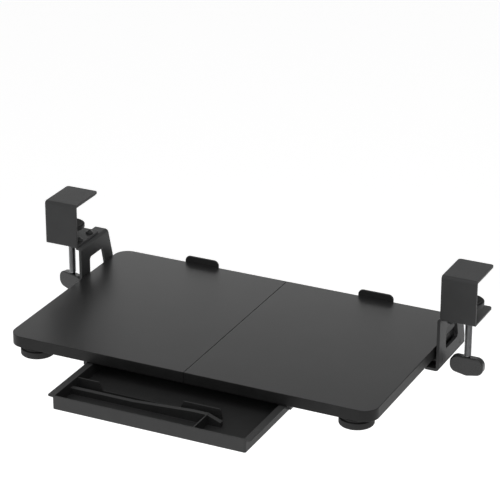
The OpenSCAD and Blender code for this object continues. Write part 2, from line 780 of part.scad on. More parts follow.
// Thin divider: high at the left wall, a finger gap, then high again up to a slanted end
module rear_divider_profile() {
    gap_from = -drawer_side + finger_from;
    gap_to = cross_divider_x - finger_to;
    end_x = cross_divider_x + thin_past;
    floor_z = drawer_bottom + drawer_t / 2;
    ridge_z = drawer_floor + ridge_h;
    polygon([[-drawer_side + drawer_t / 2, floor_z], [-drawer_side + drawer_t / 2, divider_top],
             [gap_from, divider_top], [gap_from + slant_len, ridge_z], [gap_to, ridge_z],
             [gap_to + slant_len, divider_top], [end_x - 0.8 * slant_len, divider_top],
             [end_x - 0.5 * slant_len, divider_top - divider_t], [end_x, drawer_floor], [end_x, floor_z]]);
}

// Thick divider: low at the left, rising to the cross divider, then a ramp down to a blunt end
module front_divider_profile() {
    floor_z = drawer_bottom + drawer_t / 2;
    low_z = rim_top - low_divider_drop;
    polygon([[-drawer_side + drawer_t / 2, floor_z], [-drawer_side + drawer_t / 2, low_z],
             [cross_divider_x - low_from, low_z], [cross_divider_x - high_from, divider_top],
             [cross_divider_x, divider_top],
             [cross_divider_x + ramp_len, drawer_floor + ramp_end_h], [cross_divider_x + ramp_len, floor_z]]);
}

module drawer() {
    front_y = drawer_front + front_divider_y;
    rear_y = drawer_front + rear_divider_y;
    color(plastic_black) {
        difference() {
            union() {
                along_z(drawer_bottom, rim_top) drawer_plan(0);
                along_z(rim_top - rim_t, rim_top)
                    rounded_rect([-rim_side, drawer_front], [rim_side, drawer_back],
                                 [rim_r, rim_r, rim_r, rim_r]);
            }
            along_z(drawer_floor, rim_top + cut) drawer_plan(drawer_t);
        }
        for (side = [-1, 1]) on_side(side)
            translate([lug_in, drawer_back - lug_len - lug_back, rim_top - rim_t / 2])
                cube([rim_side - lug_in, lug_len, rim_t / 2 + rim_gap - face_gap]);
        along_y(front_y - front_divider_t / 2, front_y + front_divider_t / 2) front_divider_profile();
        along_y(rear_y - divider_t / 2, rear_y + divider_t / 2) rear_divider_profile();
        translate([cross_divider_x - divider_t / 2, drawer_front + drawer_t / 2, drawer_bottom + drawer_t / 2])
            cube([divider_t, front_divider_y - drawer_t / 2, divider_top - drawer_bottom - drawer_t / 2]);
    }
}

clamp(-1);  // clamp_left
clamp(1);  // clamp_right
jaw_pad(-1);  // jaw_pad_left
jaw_pad(1);  // jaw_pad_right
clamp_nut(-1);  // clamp_nut_left
clamp_nut(1);  // clamp_nut_right
bracket(-1);  // bracket_left
bracket(1);  // bracket_right
bracket_bolts(-1);  // bracket_bolts_left
bracket_bolts(1);  // bracket_bolts_right
bracket_nuts(-1);  // bracket_nuts_left
bracket_nuts(1);  // bracket_nuts_right
roller_axles(-1);  // roller_axles_left
roller_axles(1);  // roller_axles_right
pressure_pad(-1);  // pressure_pad_left
pressure_pad(1);  // pressure_pad_right
pad_facing(-1);  // pad_facing_left
pad_facing(1);  // pad_facing_right
clamp_screw(-1);  // clamp_screw_left
clamp_screw(1);  // clamp_screw_right
handle(-1);  // handle_left
handle(1);  // handle_right
roller(-1, roller_ys[0]);  // front_roller_left
roller(1, roller_ys[0]);  // front_roller_right
roller(-1, roller_ys[1]);  // rear_roller_left
roller(1, roller_ys[1]);  // rear_roller_right
board_half(-1);  // board_left
board_half(1);  // board_right
joining_plate(joining_ys[0]);  // front_joining_plate
joining_plate(joining_ys[1]);  // rear_joining_plate
joining_screws();
seam_dowels();
rear_stop(-1);  // rear_stop_left
rear_stop(1);  // rear_stop_right
rear_stop_screws();
front_foot(-1);  // front_foot_left
front_foot(1);  // front_foot_right
foot_screws();
slide_rail(-1);  // slide_rail_left
slide_rail(1);  // slide_rail_right
slide_rail_screws(-1);  // slide_rail_screws_left
slide_rail_screws(1);  // slide_rail_screws_right
rail_stop(-1, rail_front);  // front_rail_stop_left
rail_stop(1, rail_front);  // front_rail_stop_right
rail_stop(-1, rail_back - rail_stop_len);  // rear_rail_stop_left
rail_stop(1, rail_back - rail_stop_len);  // rear_rail_stop_right
drawer_rail(-1);  // drawer_rail_left
drawer_rail(1);  // drawer_rail_right
drawer_rail_screws();
drawer();
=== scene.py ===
"""Looks of a keyboard tray that clamps under the edge of a desk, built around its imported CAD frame.

Every length is in metres, in the part's own frame: the origin is the middle of the desk's upper front
edge, +X is the user's right, +Y runs into the desk and +Z is up.
"""
import math

import bmesh
import bpy
import numpy as np
from mathutils import Matrix, Vector


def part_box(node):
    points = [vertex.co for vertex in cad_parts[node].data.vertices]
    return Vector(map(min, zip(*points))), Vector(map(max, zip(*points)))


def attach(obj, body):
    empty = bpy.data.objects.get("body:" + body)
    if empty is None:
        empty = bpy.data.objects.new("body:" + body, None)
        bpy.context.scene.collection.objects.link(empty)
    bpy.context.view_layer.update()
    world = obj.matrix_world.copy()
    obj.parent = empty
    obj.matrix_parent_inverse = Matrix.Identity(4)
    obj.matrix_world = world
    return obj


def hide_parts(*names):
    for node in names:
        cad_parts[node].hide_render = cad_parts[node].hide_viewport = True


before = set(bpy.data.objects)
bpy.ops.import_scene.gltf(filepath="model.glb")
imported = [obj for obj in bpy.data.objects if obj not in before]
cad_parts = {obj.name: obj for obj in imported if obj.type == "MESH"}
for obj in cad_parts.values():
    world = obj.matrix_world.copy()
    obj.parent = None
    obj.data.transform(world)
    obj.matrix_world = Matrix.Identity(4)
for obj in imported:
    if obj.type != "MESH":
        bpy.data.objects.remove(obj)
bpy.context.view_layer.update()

MM = 0.001
SIDES = {"left": -1, "right": 1}

# Reading the CAD meshes: nearer points are one, and faces that meet flatter are one
SAME_POINT = 0.002 * MM
FLAT_ANGLE = math.radians(0.6)

# Edges sharper than this are rounded, and large faces keep flat shading beside them
ROUNDED_ABOVE = math.radians(35)
NORMAL_WEIGHT = 60

# Threads: (climb in pitches, share of the depth) along the flank, and how soon the ends reach full depth
CLAMP_PITCH = 1.5 * MM
BOLT_PITCH = 1.0 * MM
THREAD_COLUMNS = 40
THREAD_DEPTH = 0.6
THREAD_FADE = 1.6
THREAD_FORM = [(0.0, 0.0), (0.14, 0.0), (0.44, 0.93), (0.5, 1.0), (0.64, 1.0), (0.70, 0.93)]

# Sockets and recesses that the CAD solids leave plain
HEX_KEY = 4.0 * MM
CROSS_WIDTH = 1.05 * MM
CROSS_REACH = 2.3 * MM
CROSS_DEPTH = 1.1 * MM
CROSS_TAPER = 0.35

# Bolts and wood screws
BOLT_D = 6 * MM
BOLT_HEAD_H = 3 * MM
WOOD_SCREW_D = 3.5 * MM
WOOD_HEAD_D = 7 * MM
PAN_HEAD_H = 2 * MM
SCREW_COLUMNS = 40

# Handles
HANDLE_CORNER = 10 * MM
HANDLE_BELLY = 2.3 * MM
HANDLE_EDGE = 1.6 * MM
HANDLE_TURN = {"left": math.radians(-18), "right": 0.0}
HANDLE_STEP = 0.45 * MM
TANG_BORE = 5.7 * MM
TANG_LENGTH = 15.3 * MM
TANG_RIM = 0.4 * MM

# Mesh building: a radius that counts as none, rounds of drawing points onto a field, least squared slope
ON_AXIS = 1e-9
SURFACE_ROUNDS = 5
LEAST_SLOPE = 1e-6


def size(node):
    """Lowest corner, highest corner and middle of a CAD node."""
    low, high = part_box(node)
    return low, high, (low + high) / 2


# Mesh building

def flat_faces(node):
    """The CAD node's surface as a bmesh, its triangles joined back into flat faces."""
    bm = bmesh.new()
    bm.from_mesh(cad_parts[node].data)
    bmesh.ops.remove_doubles(bm, verts=bm.verts, dist=SAME_POINT)
    bmesh.ops.dissolve_limit(bm, angle_limit=FLAT_ANGLE, verts=bm.verts, edges=bm.edges)
    return bm


def on_circle(radius, i, count, height):
    """Point i of count on a circle about Z at the given height."""
    angle = 2 * math.pi * i / count
    return (radius * math.cos(angle), radius * math.sin(angle), height)


def lathe(profile, columns=64):
    """A solid of revolution about Z. profile is a list of (radius, height) in order round the section. It
    closes on the axis where it starts at radius 0, and otherwise makes a ring."""
    bm = bmesh.new()
    rings = []
    for radius, height in profile:
        if radius < ON_AXIS:
            rings.append([bm.verts.new((0, 0, height))] * columns)
            continue
        rings.append([bm.verts.new(on_circle(radius, i, columns, height)) for i in range(columns)])
    closed = profile[0][0] > ON_AXIS
    pairs = list(zip(rings, rings[1:])) + ([(rings[-1], rings[0])] if closed else [])
    for low, high in pairs:
        for i in range(columns):
            j = (i + 1) % columns
            corners = list(dict.fromkeys((low[i], low[j], high[j], high[i])))
            if len(corners) > 2:
                bm.faces.new(corners)
    bmesh.ops.recalc_face_normals(bm, faces=bm.faces)
    return bm


def arc(centre, radius, start, stop, steps=5):
    """Points on an arc, angles in degrees."""
    angles = np.radians(np.linspace(start, stop, steps + 1))
    return [(centre[0] + radius * math.cos(a), centre[1] + radius * math.sin(a)) for a in angles]


def along(axis):
    """A turn that carries +Z to the given axis."""
    return Vector((0, 0, 1)).rotation_difference(Vector(axis)).to_matrix().to_4x4()


def placed(bm, where, axis=(0, 0, 1)):
    """The bmesh set with its +Z along axis and its origin at where."""
    bm.transform(Matrix.Translation(Vector(where)) @ along(axis))
    return bm


def joined(parts):
    """Several bmeshes as one."""
    whole = bmesh.new()
    for part in parts:
        mesh = bpy.data.meshes.new("part")
        part.to_mesh(mesh)
        part.free()
        whole.from_mesh(mesh)
        bpy.data.meshes.remove(mesh)
    return whole


def boolean(bm, tool, operation="DIFFERENCE"):
    """One bmesh cut by, joined with or limited to another, solved exactly."""
    objects = []
    for name, part in (("body", bm), ("tool", tool)):
        mesh = bpy.data.meshes.new(name)
        part.to_mesh(mesh)
        part.free()
        objects.append(bpy.data.objects.new(name, mesh))
        bpy.context.scene.collection.objects.link(objects[-1])
    cut = objects[0].modifiers.new("cut", "BOOLEAN")
    cut.operation = operation
    cut.solver = "EXACT"
    cut.object = objects[1]
    bpy.context.view_layer.update()
    result = bmesh.new()
    result.from_object(objects[0], bpy.context.evaluated_depsgraph_get())
    for o in objects:
        mesh = o.data
        bpy.data.objects.remove(o)
        bpy.data.meshes.remove(mesh)
    return result


def prism(outline, low, high):
    """An outline in X and Y, run from height low to height high."""
    bm = bmesh.new()
    base = bm.faces.new([bm.verts.new((x, y, low)) for x, y in outline])
    lifted = bmesh.ops.extrude_face_region(bm, geom=[base])
    bmesh.ops.translate(bm, verts=[v for v in lifted["geom"] if isinstance(v, bmesh.types.BMVert)],
                        vec=(0, 0, high - low))
    bmesh.ops.recalc_face_normals(bm, faces=bm.faces)
    return bm


def polygon_outline(count, across_flats):
    """Corners of a regular polygon of the given width across its flats."""
    radius = across_flats / 2 / math.cos(math.pi / count)
    return [on_circle(radius, i, count, 0)[:2] for i in range(count)]


def thread(radius, pitch, low, high, columns=THREAD_COLUMNS):
    """A right-handed outer thread about Z, its crests at radius, between two plain round ends."""
    depth = THREAD_DEPTH * pitch
    root = radius - depth
    turns = int((high - low) / pitch) - 1
    start = low + ((high - low) - turns * pitch) / 2 - pitch / 2
    bm = bmesh.new()
    strip = []
    for i in range(turns * columns + 1):
        rise = min(1.0, THREAD_FADE * i / columns, THREAD_FADE * (turns * columns - i) / columns)
        strip.append([bm.verts.new(on_circle(root + depth * share * rise, i, columns,
                                             start + pitch * (i / columns + climb)))
                      for climb, share in THREAD_FORM])
    bottom, top = [[bm.verts.new(on_circle(root, i, columns, z)) for i in range(columns)]
                   for z in (low, high)]
    last = len(strip) - 1
    top_edge = [bm.verts.new(on_circle(root, i, columns, start + pitch * (i / columns + 1)))
                for i in range(last - columns + 1, last + 1)]

    def row_above(i):
        return strip[i + columns][0] if i + columns <= last else top_edge[i + columns - last - 1]

    for i in range(last):
        for k in range(len(THREAD_FORM)):
            if k + 1 < len(THREAD_FORM):
                upper = (strip[i][k + 1], strip[i + 1][k + 1])
            else:
                upper = (row_above(i), row_above(i + 1))
            bm.faces.new((strip[i][k], strip[i + 1][k], upper[1], upper[0]))
    for i in range(columns - 1):
        bm.faces.new((bottom[i], bottom[i + 1], strip[i + 1][0], strip[i][0]))
        bm.faces.new((top_edge[i], top_edge[i + 1],
                      top[(last + i + 2) % columns], top[(last + i + 1) % columns]))
    bm.faces.new([bottom[-1], bottom[0], *strip[0], strip[columns][0], strip[columns - 1][0]])
    bm.faces.new([strip[last][0], top_edge[0], top[(last + 1) % columns], top[last % columns],
                  top_edge[-1], *reversed(strip[last][1:])])
    bm.faces.new(list(reversed(bottom)))
    bm.faces.new(top)
    bmesh.ops.recalc_face_normals(bm, faces=bm.faces)
    return bm


def surface_of(field, low, high, step):
    """The zero surface of a smooth distance field as quads: one vertex in each cell that the surface
    crosses, drawn onto it along the field's slope. field turns an array of points into their values."""
    low, high = np.array(low, float) - 2 * step, np.array(high, float) + 2 * step
    counts = np.ceil((high - low) / step).astype(int) + 1
    axes = [low[k] + step * np.arange(counts[k]) for k in range(3)]
    grid = np.stack(np.meshgrid(*axes, indexing="ij"), -1)
    inside = field(grid.reshape(-1, 3)).reshape(counts) < 0
    cells = inside[:-1, :-1, :-1].astype(int)
    for dx, dy, dz in np.ndindex(2, 2, 2):
        if dx + dy + dz:
            cells = cells + inside[dx:counts[0] - 1 + dx, dy:counts[1] - 1 + dy, dz:counts[2] - 1 + dz]
    crossed = (cells > 0) & (cells < 8)
    index = np.full(crossed.shape, -1)
    places = np.argwhere(crossed)
    index[crossed] = np.arange(len(places))
    points = low + step * (places + 0.5)
    probe, longest = 0.05 * step, 0.7 * step
    for _ in range(SURFACE_ROUNDS):
        value = field(points)
        slope = np.stack([(field(points + probe * e) - field(points - probe * e)) / (2 * probe)
                          for e in np.eye(3)], 1)
        steepness = np.maximum((slope ** 2).sum(1, keepdims=True), LEAST_SLOPE)
        points = points + np.clip(-value[:, None] * slope / steepness, -longest, longest)
    faces = []
    for axis in range(3):
        u, v = [k for k in range(3) if k != axis]
        ahead = np.roll(inside, -1, axis)
        edge = np.argwhere(inside != ahead)
        edge = edge[(edge[:, axis] < counts[axis] - 1) & (edge[:, u] > 0) & (edge[:, v] > 0)]
        for cell in edge:
            ring = []
            for du, dv in ((-1, -1), (0, -1), (0, 0), (-1, 0)):
                corner = cell.copy()
                corner[u] += du
                corner[v] += dv
                ring.append(int(index[tuple(corner)]))
            faces.append(ring)
    bm = bmesh.new()
    made = [bm.verts.new(p) for p in points]
    for ring in faces:
        bm.faces.new([made[i] for i in ring])
    bmesh.ops.recalc_face_normals(bm, faces=bm.faces)
    return bm


# Materials

def shader_node(tree, kind, inputs=None, **settings):
    """A new node with its settings and inputs. An input is a value or another node's output."""
    made = tree.nodes.new(kind)
    for key, value in settings.items():
        setattr(made, key, value)
    for key, value in (inputs or {}).items():
        if isinstance(value, bpy.types.NodeSocket):
            tree.links.new(value, made.inputs[key])
        else:
            made.inputs[key].default_value = value
    return made


def grey(level, tint=0.0):
    """A grey colour, with a little blue for a positive tint."""
    return (level * (1 - tint), level, level * (1 + tint), 1)


class Finish:
    """A procedural material. Its noises have features of a given size; they vary its colour and its
    roughness and give it fine relief."""

    def __init__(self, name, metal=0.0, specular=0.5, stretch=(1, 1, 1)):
        self.material = bpy.data.materials.new(name)
        self.material.use_nodes = True
        self.tree = self.material.node_tree
        self.tree.nodes.clear()
        self.shader = shader_node(self.tree, "ShaderNodeBsdfPrincipled",
                                  {"Metallic": metal, "Specular IOR Level": specular})
        output = shader_node(self.tree, "ShaderNodeOutputMaterial")
        self.tree.links.new(self.shader.outputs["BSDF"], output.inputs["Surface"])
        place = shader_node(self.tree, "ShaderNodeTexCoord").outputs["Object"]
        self.place = shader_node(self.tree, "ShaderNodeMapping",
                                 {"Vector": place, "Scale": stretch}).outputs["Vector"]

    def noise(self, feature, detail=2.0, rough=0.5):
        """A noise between 0 and 1 whose features have the given size."""
        return shader_node(self.tree, "ShaderNodeTexNoise",
                           {"Vector": self.place, "Scale": 1 / feature, "Detail": detail,
                            "Roughness": rough}).outputs["Fac"]

    def cells(self, feature):
        """Distance from the middle of the nearest of many small cells."""
        return shader_node(self.tree, "ShaderNodeTexVoronoi",
                           {"Vector": self.place, "Scale": 1 / feature}).outputs["Distance"]

    def between(self, value, low, high, from_low=0.3, from_high=0.7):
        """value, carried from the range from_low to from_high to the range low to high. The first is taken
        as the range of a noise where it isn't given."""
        return shader_node(self.tree, "ShaderNodeMapRange",
                           {"Value": value, "From Min": from_low, "From Max": from_high,
                            "To Min": low, "To Max": high}).outputs["Result"]

    def product(self, a, b):
        """One value times another."""
        return shader_node(self.tree, "ShaderNodeMath", {0: a, 1: b},
                           operation="MULTIPLY").outputs["Value"]

    def mix(self, share, a, b):
        """Colour a turned into colour b by share."""
        return shader_node(self.tree, "ShaderNodeMix", {"Factor": share, "A": a, "B": b},
                           data_type="RGBA").outputs["Result"]

    def edges(self, width):
        """Nearly 1 on sharp edges and 0 on flat faces."""
        soft = shader_node(self.tree, "ShaderNodeBevel", {"Radius": width}, samples=6).outputs["Normal"]
        true = shader_node(self.tree, "ShaderNodeNewGeometry").outputs["Normal"]
        alike = shader_node(self.tree, "ShaderNodeVectorMath", {0: soft, 1: true},
                            operation="DOT_PRODUCT").outputs["Value"]
        return self.between(alike, 0.0, 1.0, from_low=0.995, from_high=0.85)

    def bump(self, heights):
        """Relief from (height, depth in metres) pairs, one over the other."""
        normal = None
        for height, depth in heights:
            inputs = {"Height": height, "Distance": depth, "Strength": 1.0}
            if normal is not None:
                inputs["Normal"] = normal
            normal = shader_node(self.tree, "ShaderNodeBump", inputs).outputs["Normal"]
        self.tree.links.new(normal, self.shader.inputs["Normal"])

    def set(self, socket, value):
        """The shader's socket set to a value or fed by another node's output."""
        if isinstance(value, bpy.types.NodeSocket):
            self.tree.links.new(value, self.shader.inputs[socket])
        else:
            self.shader.inputs[socket].default_value = value


def powder_coat():
    """Black powder coat with a faint orange peel, worn a little at its edges."""
    f = Finish("powder_coat_black", specular=0.24)
    peel = f.noise(0.9 * MM)
    grain = f.noise(0.22 * MM, detail=1.0)
    cloud = f.noise(35 * MM, detail=3.0)
    base = f.mix(f.between(cloud, 0.0, 1.0), grey(0.031, 0.01), grey(0.037, 0.01))
    edges = f.edges(0.5 * MM)
    patches = f.between(f.noise(4 * MM, detail=4.0), 0.0, 0.5, from_low=0.45, from_high=0.7)
    f.set("Base Color", f.mix(f.product(edges, patches), base, grey(0.06)))
    f.set("Roughness", f.between(peel, 0.42, 0.52))
    f.bump([(peel, 0.012 * MM), (grain, 0.006 * MM)])
    return f.material


def plastic(name, low, high, rough, specular=0.5):
    """Moulded plastic with a fine spark-eroded grain, its grey between low and high."""
    f = Finish(name, specular=specular)
    grain = f.noise(0.35 * MM, rough=0.6)
    cloud = f.noise(25 * MM)
    f.set("Base Color", f.mix(f.between(cloud, 0.0, 1.0), grey(low, 0.01), grey(high, 0.01)))
    f.set("Roughness", f.between(grain, rough - 0.04, rough + 0.05))
    f.bump([(grain, 0.010 * MM)])
    return f.material


def laminate():
    """Semi-matt black laminate with a fine pebble grain."""
    f = Finish("board_laminate_black", specular=0.4)
    pebble = f.cells(0.55 * MM)
    grain = f.noise(0.3 * MM)
    cloud = f.noise(60 * MM, detail=3.0)
    f.set("Base Color", f.mix(f.between(cloud, 0.0, 1.0), grey(0.012, 0.01), grey(0.015, 0.01)))
    f.set("Roughness", f.between(grain, 0.32, 0.39))
    f.bump([(pebble, 0.010 * MM), (grain, 0.005 * MM)])
    return f.material


def edge_band():
    """The board's edge band, blacker and duller than its laminate."""
    f = Finish("board_edge_band_black", specular=0.25)
    grain = f.noise(0.5 * MM)
    f.set("Base Color", f.mix(f.between(f.noise(18 * MM), 0.0, 1.0), grey(0.0065), grey(0.0095)))
    f.set("Roughness", f.between(grain, 0.42, 0.5))
    f.bump([(grain, 0.008 * MM)])
    return f.material


def rubber():
    """Matt black rubber with a little dust."""
    f = Finish("rubber_black", specular=0.35)
    grain = f.noise(0.4 * MM, detail=3.0, rough=0.6)
    dust = f.between(f.noise(9 * MM, detail=4.0), 0.0, 0.35, from_low=0.5, from_high=0.75)
    f.set("Base Color", f.mix(dust, grey(0.017), grey(0.025)))
    f.set("Roughness", f.between(grain, 0.68, 0.8))
    f.bump([(grain, 0.02 * MM)])
    return f.material


def metal(name, low, high, rough, stretch=(1, 1, 1)):
    """Bare or plated metal with fine lines along the axis that a small stretch makes long."""
    f = Finish(name, metal=1.0, stretch=stretch)
    line = f.noise(0.25 * MM, detail=3.0, rough=0.6)
    blotch = f.noise(12 * MM, detail=4.0)
    f.set("Base Color", f.mix(f.between(blotch, 0.0, 1.0), grey(low, 0.015), grey(high, 0.01)))
    f.set("Roughness", f.between(blotch, rough - 0.05, rough + 0.07))
    f.bump([(line, 0.004 * MM)])
    return f.material


def nylon():
    """Black nylon, smooth from running."""
    f = Finish("roller_nylon_black")
    grain = f.noise(0.5 * MM)
    f.set("Base Color", f.mix(f.between(f.noise(3 * MM), 0.0, 1.0), grey(0.018), grey(0.024)))
    f.set("Roughness", f.between(grain, 0.34, 0.44))
    f.bump([(grain, 0.006 * MM)])
    return f.material


def beech():
    """Plain beech, its grain along X."""
    f = Finish("dowel_beech", stretch=(0.15, 1, 1))
    grain = f.noise(0.5 * MM, detail=4.0, rough=0.6)
    f.set("Base Color", f.mix(f.between(grain, 0.0, 1.0), (0.42, 0.27, 0.14, 1), (0.62, 0.45, 0.27, 1)))
    f.set("Roughness", f.between(grain, 0.55, 0.7))
    f.bump([(grain, 0.03 * MM)])
    return f.material


MATERIALS = {
    "powder_coat": powder_coat(),
    "handle_plastic": plastic("handle_plastic_grey", 0.014, 0.017, 0.25),
    "drawer_plastic": plastic("drawer_plastic_grey", 0.021, 0.025, 0.6),
    # The drawer's inside: the same plastic in a darker grey, which is painted shade, with a lower sheen
    "painted_shade_inside": plastic("drawer_painted_shade_grey", 0.012, 0.015, 0.6, specular=0.35),
    "stop_plastic": plastic("stop_plastic_black", 0.011, 0.014, 0.5, specular=0.35),
    "runner_plastic": plastic("runner_plastic_black", 0.012, 0.015, 0.45),
    "board_laminate": laminate(),
    "edge_band": edge_band(),
    "rubber_black": rubber(),
    "zinc_steel": metal("zinc_steel", 0.20, 0.27, 0.42),
    "screw_steel": metal("screw_steel", 0.28, 0.33, 0.36),
    "rail_aluminium": metal("rail_aluminium_dark", 0.045, 0.055, 0.36, stretch=(1, 0.02, 1)),
    "roller_nylon": nylon(),
    "dowel_beech": beech(),
}


# Pieces

def piece(name, bm, body, finish, replaces, bevel=0.0, segments=3, second=None):
    """A shown piece: the bmesh as an object that rides on body and stands for CAD nodes, its edges
    rounded by bevel. second is (finish, test): faces that pass the test get that finish instead."""
    mesh = bpy.data.meshes.new(name)
    for face in bm.faces:
        face.smooth = True
    if second is not None:
        bm.normal_update()
        for face in bm.faces:
            face.material_index = 1 if second[1](face) else 0
    bm.to_mesh(mesh)
    bm.free()
    mesh.materials.append(MATERIALS[finish])
    if second is not None:
        mesh.materials.append(MATERIALS[second[0]])
    o = bpy.data.objects.new(name, mesh)
    bpy.context.scene.collection.objects.link(o)
    if bevel:
        rounding = o.modifiers.new("rounding", "BEVEL")
        rounding.width = bevel
        rounding.segments = segments
        rounding.limit_method = "ANGLE"
        rounding.angle_limit = ROUNDED_ABOVE
        rounding.use_clamp_overlap = False
        rounding.miter_outer = "MITER_ARC"
    even = o.modifiers.new("even_normals", "WEIGHTED_NORMAL")
    even.weight = NORMAL_WEIGHT
    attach(o, body)
    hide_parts(*replaces)
    return o


def settled(o, low, high):
    """The piece's rounded mesh made final, its points kept between the corners low and high."""
    mesh = bpy.data.meshes.new_from_object(o.evaluated_get(bpy.context.evaluated_depsgraph_get()))
    for v in mesh.vertices:
        v.co = [min(max(c, a), b) for c, a, b in zip(v.co, low, high)]
    o.modifiers.clear()
    o.data = mesh


def hex_nut(across_flats, height, bore):
    """A hexagon nut from 0 to height, its corners turned off and its bore countersunk."""
    corner = across_flats / 2 / math.cos(math.pi / 6)
    fall = (corner - across_flats / 2) * math.tan(math.radians(30))
    flat = 0.95 * across_flats / 2
    lip = 0.5 * MM
    turned = lathe([(bore / 2 + lip, 0), (flat, 0), (corner, fall), (corner, height - fall),
                    (flat, height), (bore / 2 + lip, height), (bore / 2, height - lip), (bore / 2, lip)],
                   columns=72)
    return boolean(turned, prism(polygon_outline(6, across_flats), -MM, height + MM), "INTERSECT")


def cross_recess():
    """The tool that leaves a cross recess in a screw's head: two tapered bars that meet, from 0 down."""
    bars = []
    for turn in (0, math.pi / 2):
        bar = bmesh.new()
        bmesh.ops.create_cube(bar, size=1)
        for v in bar.verts:
            taper = CROSS_TAPER if v.co.z < 0 else 1.0
            v.co = Vector((v.co.x * 2 * CROSS_REACH * taper, v.co.y * CROSS_WIDTH * (0.5 + taper / 2),
                           v.co.z * 2 * CROSS_DEPTH))
        bar.transform(Matrix.Rotation(turn, 4, "Z"))
        bars.append(bar)
    return boolean(bars[0], bars[1], "UNION")


def wood_screw_foot(length):
    """A wood screw's profile from its point at -length up to its shank, and the shank's radius."""
    shank = WOOD_SCREW_D / 2 * 0.8
    profile = [(0, -length), (WOOD_SCREW_D * 0.18, -length + 0.8 * WOOD_SCREW_D),
               (shank, -length + 1.6 * WOOD_SCREW_D)]
    return profile, shank


def pan_head_screw(length):
    """A pan-head wood screw: head from 0 up, shank down to a point at -length."""
    head = WOOD_HEAD_D / 2
    round_r = 0.55 * PAN_HEAD_H
    profile, shank = wood_screw_foot(length)
    profile += [(shank, 0), (head - 0.1 * MM, 0), (head, 0.1 * MM)]
    profile += arc((head - round_r, PAN_HEAD_H - round_r), round_r, 0, 80, 5)
    profile += [(0.45 * head, PAN_HEAD_H - 0.02 * MM), (0, PAN_HEAD_H)]
    return boolean(lathe(profile, SCREW_COLUMNS), placed(cross_recess(), (0, 0, PAN_HEAD_H)))


def flat_head_screw(head_h, length):
    """A countersunk wood screw: head from 0 down, flush with the plane z = 0."""
    head = WOOD_HEAD_D / 2
    profile, shank = wood_screw_foot(length)
    profile += [(shank, -head_h), (head - 0.05 * MM, -0.12 * MM), (head - 0.05 * MM, -0.02 * MM),
                (head - 0.15 * MM, 0), (0, 0)]
    return boolean(lathe(profile, SCREW_COLUMNS), placed(cross_recess(), (0, 0, 0)))


def solids_of(node):
    """Middle, lowest and highest corner of each separate solid of a CAD node."""
    bm = bmesh.new()
    bm.from_mesh(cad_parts[node].data)
    bmesh.ops.remove_doubles(bm, verts=bm.verts, dist=SAME_POINT)
    left = set(bm.verts)
    found = []
    while left:
        seeds = [left.pop()]
        group = list(seeds)
        while seeds:
            v = seeds.pop()
            for e in v.link_edges:
                other = e.other_vert(v)
                if other in left:
                    left.remove(other)
                    seeds.append(other)
                    group.append(other)
        points = np.array([v.co for v in group])
        low, high = points.min(0), points.max(0)
        found.append((Vector((low + high) / 2), Vector(low), Vector(high)))
    bm.free()
    return sorted(found, key=lambda f: tuple(round(x, 5) for x in f[0]))


def sheet_metal():
    """Clamps and brackets: bent plate with its cut edges rounded under the coat."""
    for side in SIDES:
        for kind in ("clamp", "bracket"):
            node = f"{kind}_{side}"
            piece(f"{node}_plate", flat_faces(node), "root", "powder_coat", [node], bevel=0.35 * MM)


def jaw_pads():
    """Rubber pads with grooves across the face that grips the desk."""
    groove_w, groove_d, groove_pitch = 0.9 * MM, 0.5 * MM, 3.2 * MM
    plain_ends = 4 * MM
    past = MM
    for side in SIDES:
        node = f"jaw_pad_{side}"
        low, high, middle = size(node)
        count = int((high.y - low.y - plain_ends) / groove_pitch)
        left, right = low.x - past, high.x + past
        grooves = []
        for i in range(count):
            y = middle.y + (i - (count - 1) / 2) * groove_pitch
            front, back = y - groove_w / 2, y + groove_w / 2
            outline = [(left, front), (right, front), (right, back), (left, back)]
            grooves.append(prism(outline, low.z - past, low.z + groove_d))
        pad = boolean(flat_faces(node), joined(grooves))
        piece(f"{node}_rubber", pad, "root", "rubber_black", [node], bevel=0.15 * MM, segments=2)


def nuts_and_bolts():
    """Clamp nuts of bare zinc, and the bolts and lock nuts between bracket and clamp, which are coated like
    them but bare inside the holes."""
    edge = 0.08 * MM
    margin = 0.1 * MM
    for side in SIDES:
        node = f"clamp_nut_{side}"
        low, high, middle = size(node)
        screw_low, screw_high, _ = size(f"clamp_screw_{side}")
        nut = hex_nut(high.y - low.y, high.z - low.z, screw_high.x - screw_low.x)
        nut = placed(nut, (middle.x, middle.y, low.z))
        piece(f"{node}_steel", nut, "root", "zinc_steel", [node], bevel=edge, segments=2)

        nuts, bolts = [], []
        for middle, low, high in solids_of(f"bracket_nuts_{side}"):
            nut = hex_nut(high.y - low.y, high.z - low.z, BOLT_D)
            nuts.append(placed(nut, (middle.x, middle.y, low.z)))
        for middle, low, high in solids_of(f"bracket_bolts_{side}"):
            bolt = button_bolt(high.x - low.x, high.z - low.z - BOLT_HEAD_H)
            bolts.append(placed(bolt, (middle.x, middle.y, high.z - BOLT_HEAD_H)))
        nut_top = size(f"bracket_nuts_{side}")[1].z
        jaw_top = size(f"bracket_bolts_{side}")[1].z - BOLT_HEAD_H

        def nut_shows(face):
            return face.calc_center_median().z < nut_top - margin

        def bolt_shows(face):
            return not nut_top < face.calc_center_median().z < jaw_top - margin

        piece(f"bracket_nuts_{side}_steel", joined(nuts), "root", "zinc_steel", [f"bracket_nuts_{side}"],
              bevel=edge, segments=2, second=("powder_coat", nut_shows))
        piece(f"bracket_bolts_{side}_steel", joined(bolts), "root", "zinc_steel",
              [f"bracket_bolts_{side}"], second=("powder_coat", bolt_shows))


